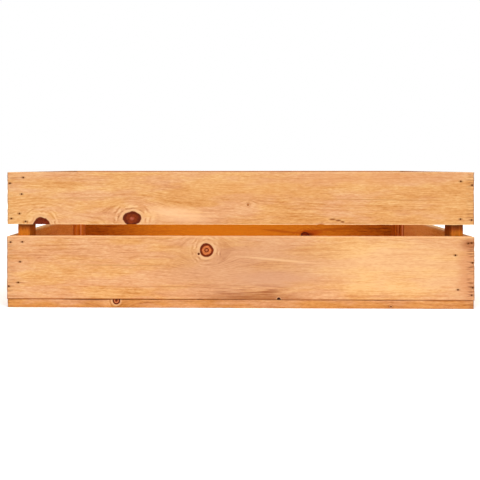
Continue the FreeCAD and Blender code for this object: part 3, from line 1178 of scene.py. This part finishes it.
class LongSides(WoodenPart):
    """The four long boards, two to a side."""

    def __init__(self) -> None:
        """Sets out the boards, each with its own knots."""
        super().__init__(
            "side_boards",
            StainedPine(),
            {
                "front_upper_board": (
                    Facing.FRONT,
                    Marks(
                        seed=11.0,
                        knots=(
                            Knot(41.5, -1.6, 10.1, heart="7C2E14", flesh="642004", rim="5A1A00",
                                 reach=1.8, curled=0.4),
                            Knot(150.8, 7.4, 8.4, heart="A0503A", flesh="6E2604", rim="561900",
                                 length=1.28, reach=2.2, curled=0.54),
                            Knot(290, 24, 1.6, heart="A8683A", flesh="A8683A", rim="92562A", reach=3.0),
                        ),
                        tints=(
                            Tint(208, 12, 56, 13, "E2B38A", 0.6, tilt=-6),
                            Tint(300, 44, 120, 16, "C88C50", 0.3),
                            Tint(430, 56, 120, 14, "C98A50", 0.35),
                            Tint(391, 6.6, 5.5, 1.5, "7A3C14", 0.9),
                            Tint(398, 5.4, 5.0, 1.6, "7A3C14", 0.9),
                            Tint(403, 3.6, 3.5, 1.6, "7A3C14", 0.9),
                            Tint(12, 56, 13, 0.6, "8A5430", 0.6),
                            Tint(448, 30, 112, 1.1, "AC7238", 0.55, tilt=-0.6),
                            Tint(100, 32, 62, 1.0, "B07A42", 0.45, tilt=1),
                            # painted highlights along the lower and the top edge
                            Tint(280, 0, 900, 1.5, "FFD49A", 0.6),
                            Tint(280, 63, 900, 1.2, "FFDDB0", 0.25),
                        ),
                        soaks=(
                            SoakAndShade(50, 24, 110, 50, -0.06),
                            SoakAndShade(200, 10, 60, 14, -0.07),
                            # painted light along the top edge, and painted shade along the lower edge
                            SoakAndShade(280, 64, 420, 22, -0.06),
                            SoakAndShade(340, 2, 260, 18, 0.09),
                        ),
                        pith=(-95.0, -60.0),
                        rosy=0.4,
                        splits=(0.15, 0.4),
                        nicks=((377, 2.4, 1.6),),
                    ),
                ),
                "front_lower_board": (
                    Facing.FRONT,
                    Marks(
                        seed=27.0,
                        knots=(
                            Knot(240.8, 59.3, 8.2, heart="B8683C", flesh="B46232", rim="641E00",
                                 ringed=True, reach=2.1, curled=0.65),
                            Knot(231.4, 55, 1.5, heart="5A2408", flesh="5A2408", rim="5A2408", reach=1.0),
                            Knot(327.2, 0.8, 2.3, heart="2A0E04", flesh="2A0E04", rim="3A1606", reach=1.0),
                        ),
                        tints=(
                            Tint(465, 42, 140, 50, "DFB27A", 0.3),
                            Tint(320, 26, 62, 14, "BE8A6C", 0.5),
                            Tint(326, 48, 66, 1.9, "E6B884", 0.75, tilt=-5),
                            Tint(554, 67, 15, 10, "96562E", 0.7),
                            Tint(138, 41, 84, 1.1, "B07C48", 0.6, tilt=-0.5),
                            Tint(205, 15.5, 90, 1.2, "AC7240", 0.6),
                            Tint(16, 19.9, 10, 0.7, "8A5028", 0.65),
                            Tint(6, 15.6, 6, 0.7, "8A5028", 0.65),
                            Tint(106, 0.5, 52, 0.9, "5A2C0C", 0.5),
                            # painted shadow along the lower edge, in the joint with the floor board
                            Tint(120, 0, 420, 1.8, "944C0E", 1.0),
                            Tint(480, 0, 300, 1.6, "944C0E", 0.85),
                            # painted highlight along the top edge, where its top face catches light
                            Tint(280, 76, 900, 1.5, "FAC48A", 0.5),
                            Tint(552, 34, 17, 50, "B87248", 0.45),
                            Tint(290, 40, 150, 56, "B88C6C", 0.4),
                            Tint(292, -1, 80, 15, "8A4A22", 0.6),
                            Tint(298, 9, 66, 13, "8A4A2A", 0.7, streaky=True),
                        ),
                        soaks=(SoakAndShade(465, 40, 150, 55, -0.13), SoakAndShade(300, 36, 110, 50, 0.05)),
                        pith=(-120.0, -45.0),
                        rosy=0.6,
                        splits=(0.25, 0.6),
                        nicks=((327.2, 1.6, 1.2),),
                    ),
                ),
                "back_upper_board": (
                    Facing.BACK,
                    Marks(
                        seed=43.0,
                        knots=(Knot(420, 44, 7), Knot(96, 20, 9, reach=1.7)),
                        pith=(40.0, -55.0),
                        rosy=0.4,
                    ),
                ),
                "back_lower_board": (
                    Facing.BACK,
                    Marks(
                        seed=58.0,
                        knots=(
                            Knot(168.3, 44.8, 6.6, heart="74300E", flesh="74300E", rim="541C06",
                                 length=1.1, curled=0.45, pale=0.0),
                            Knot(398, 22, 10, ringed=True),
                        ),
                        tints=(
                            Tint(300, 50, 160, 40, "DCA45A", 0.55),
                            Tint(206, 52, 50, 3, "A86030", 0.6, tilt=6),
                            Tint(160, 50, 30, 8, "A84E1A", 0.75),
                            Tint(163, 47, 15, 4.5, "6A2808", 0.8),
                            Tint(120, 56, 60, 3, "A05828", 0.5, tilt=-4),
                        ),
                        # painted shade at both ends, darkening the inside corners
                        soaks=(SoakAndShade(10, 46, 150, 60, 0.34), SoakAndShade(550, 46, 150, 60, 0.34)),
                        pith=(-30.0, -90.0),
                        rosy=0.3,
                    ),
                ),
            },
        )


class EndWalls(WoodenPart):
    """The four short boards, two to an end."""

    def __init__(self) -> None:
        """Sets out the boards, each with its own knots."""
        super().__init__(
            "end_boards",
            # deep: a lighter painted shade on the inside faces
            StainedPine(deep=(1.0, 0.7, 0.32, 1.0)),
            {
                "left_upper_board": (
                    Facing.LEFT,
                    Marks(seed=71.0, knots=(Knot(196, 30, 8),), pith=(20.0, -50.0), rosy=0.5),
                ),
                "left_lower_board": (
                    Facing.LEFT,
                    Marks(seed=86.0, knots=(Knot(84, 26, 6.5, ringed=True),), pith=(-80.0, -60.0), rosy=0.6),
                ),
                "right_upper_board": (
                    Facing.RIGHT,
                    Marks(seed=97.0, knots=(Knot(236, 14, 6),), pith=(-70.0, -80.0), rosy=0.4),
                ),
                "right_lower_board": (
                    Facing.RIGHT,
                    Marks(
                        seed=113.0,
                        knots=(Knot(118, 30, 9, reach=1.8), Knot(206, 22, 4)),
                        pith=(10.0, -60.0),
                        rosy=0.7,
                        stain=-0.17,
                    ),
                ),
            },
        )


class CornerPosts(WoodenPart):
    """The four posts inside the corners."""

    def __init__(self) -> None:
        """Sets out the posts, with close straight grain and a deep coat."""
        finish = StainedPine(
            golden=("E89A34", "D87C1C", "B0560C", "7E3604"),
            rose=("E08C40", "CC702A", "A65018", "783208"),
            deep=(1.0, 1.0, 1.0, 1.0),
            ring=2.2,
            wander=3.0,
            ripple=0.6,
            dash=(30.0, 1.8),
        )
        # painted shade under the upper board's edge, and painted light below it, where the posts show in the
        # gap
        painted_gap_shade_and_light = (Tint(90, 7.5, 8, 18, "5E2E04", 0.8), Tint(78, 8, 7, 16, "F09C28", 0.4))
        sap_streaks = (Tint(80, 2.5, 90, 2.0, "E8A070", 0.55), Tint(80, 9.5, 80, 1.2, "E09858", 0.4))
        facings = {"front": Facing.UPRIGHT_FRONT, "back": Facing.UPRIGHT_BACK}
        tints = {"front": painted_gap_shade_and_light, "back": sap_streaks}
        walls = [(wall, end) for wall in facings for end in ("left", "right")]
        super().__init__(
            "corner_posts",
            finish,
            {
                f"{wall}_{end}_post": (
                    facings[wall],
                    Marks(
                        seed=130.0 + 17 * number,
                        tints=tints[wall],
                        pith=(-40.0, -35.0 - 10 * number),
                        rosy=0.3,
                        stain=0.4 if end == "right" else 0.1,
                        splits=(0.2, 0.2),
                    ),
                )
                for number, (wall, end) in enumerate(walls)
            },
        )


class SlattedFloor(WoodenPart):
    """The boards of the bottom."""

    def __init__(self) -> None:
        """Sets out the boards. The front one is laid out by its long edge, which is the part that shows."""
        finish = StainedPine(golden=("D09C5C", "C28446", "AA6A30", "844818"))
        super().__init__(
            "floor_boards",
            finish,
            {
                "floor_board_1": (
                    Facing.FRONT,
                    Marks(
                        seed=201.0,
                        knots=(
                            Knot(131.6, 8.6, 4.6, heart="6A2408", flesh="AE6238", rim="5A1C06",
                                 ringed=True, reach=2.2, taper=0.02, curled=0.4),
                            Knot(460, 2.6, 1.2, heart="6A3414", flesh="6A3414", rim="7A3E18", taper=0.05),
                        ),
                        tints=(Tint(136, 3, 15, 6, "A0601C", 0.55), Tint(104, 9.6, 52, 0.9, "5A2C0C", 0.7)),
                        pith=(-50.0, -30.0),
                        rosy=0.2,
                        stain=0.08,
                    ),
                ),
                "floor_board_2": (
                    Facing.UNDER,
                    Marks(seed=223.0, knots=(Knot(170, 30, 9), Knot(470, 52, 7)), pith=(15.0, -60.0)),
                ),
                "floor_board_3": (
                    Facing.UNDER,
                    Marks(seed=239.0, knots=(Knot(330, 48, 10, reach=1.7),), pith=(-70.0, -60.0), rosy=0.4),
                ),
                "floor_board_4": (
                    Facing.UNDER,
                    Marks(
                        seed=251.0,
                        knots=(Knot(90, 22, 7), Knot(404, 34, 6)),
                        pith=(50.0, -80.0),
                        rosy=0.6,
                    ),
                ),
            },
        )


# ---------------------------------------------------------------- studio


@dataclass(frozen=True)
class Softbox:
    """A broad, far light: its bearing from square-on, its height, its strength and how wide it looks."""

    name: str
    bearing: float  # degrees, positive to the right
    height: float  # degrees above level
    strength: float
    width: float  # degrees across

    def hang(self) -> None:
        """Adds the light to the scene."""
        light = bpy.data.lights.new(self.name, "SUN")
        light.energy = self.strength
        light.angle = math.radians(self.width)
        holder = bpy.data.objects.new(self.name, light)
        holder.rotation_euler = (math.radians(90 - self.height), 0, math.radians(self.bearing))
        bpy.context.collection.objects.link(holder)


@dataclass
class Studio:
    """A white paper floor, soft light from both sides and from above, and a level camera."""

    distance: float = 0.760  # from the near side to the camera
    sideways: float = -0.006  # from the crate's middle to the camera
    eye_height: float = 0.1685  # above the floor
    lens: float = 47.6  # mm, on a 36 mm sensor
    sensor: float = 36.0  # mm
    turn: float = 1.02  # degrees to the left of square-on
    shift: tuple[float, float] = (0.0356, -0.151)  # shares of the frame, which keep the crate central
    floor_size: float = 14.0
    floor_gap: float = 0.05 * MM  # below the crate, so that the two never share a plane
    surround: float = 0.18  # how strongly the wall all round lights the crate
    softboxes: tuple[Softbox, ...] = (
        Softbox("softbox_left", -46, 42, 1.84, 35),
        Softbox("softbox_right", 52, 40, 1.68, 35),
        Softbox("softbox_top", 20, 82, 1.4, 50),
    )

    def build(self, low: Vector) -> None:
        """Sets up the floor, the lights, the camera and the way that light becomes colour.

        Args:
            low: the crate's lowest corner.
        """
        self._floor(low.z)
        self._surround()
        for softbox in self.softboxes:
            softbox.hang()
        self._camera(low)
        bpy.context.scene.view_settings.view_transform = "Standard"

    def _floor(self, height: float) -> None:
        """Lays the paper under the crate."""
        deselect_all()
        bpy.ops.mesh.primitive_plane_add(size=self.floor_size, location=(0, 0, height - self.floor_gap))
        floor = bpy.context.object
        floor.name = "studio_floor"
        floor.data.materials.append(PaperFloor().material())
        floor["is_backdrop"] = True

    def _surround(self) -> None:
        """Puts a white wall all round, which looks bright but lights the crate only softly."""
        world = bpy.data.worlds.new("white_surround")
        world.use_nodes = True
        tree = world.node_tree
        seen = add_node(tree, "LightPath").outputs["Is Camera Ray"]
        strength = add_node(tree, "MapRange", {"Value": seen, "To Min": self.surround, "To Max": 1.0})
        tree.nodes["Background"].inputs["Color"].default_value = (1.0, 1.0, 1.0, 1.0)
        tree.links.new(strength.outputs[0], tree.nodes["Background"].inputs["Strength"])
        bpy.context.scene.world = world

    def _camera(self, low: Vector) -> None:
        """Stands the camera before the long side, nearly square to it and looking level."""
        eye = bpy.data.cameras.new("camera")
        eye.sensor_width = self.sensor
        eye.lens = self.lens
        eye.shift_x, eye.shift_y = self.shift
        holder = bpy.data.objects.new("camera", eye)
        holder.location = (self.sideways, low.y - self.distance, low.z + self.eye_height)
        holder.rotation_euler = (math.radians(90), 0, math.radians(self.turn))
        bpy.context.collection.objects.link(holder)
        bpy.context.scene.camera = holder


def main() -> None:
    """Builds the crate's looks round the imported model."""
    logging.basicConfig(level=logging.INFO, format="%(name)s: %(message)s")
    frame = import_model()
    low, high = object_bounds()
    nails = NailSet()
    brads = {node: nails.read(node) for node in frame["nodes"] if node.endswith("_nails")}
    every = [brad for group in brads.values() for brad in group]

    shop = WoodShop(nails=nails)
    for part in (LongSides(), EndWalls(), CornerPosts(), SlattedFloor()):
        log.info("%s: %d pieces", part.slot, len(part.build(shop, every)))
    metal = OxidisedSteel().material()
    for node, group in brads.items():
        nails.build(node, group, metal)

    Studio().build(low)


if __name__ == "__main__":
    main()
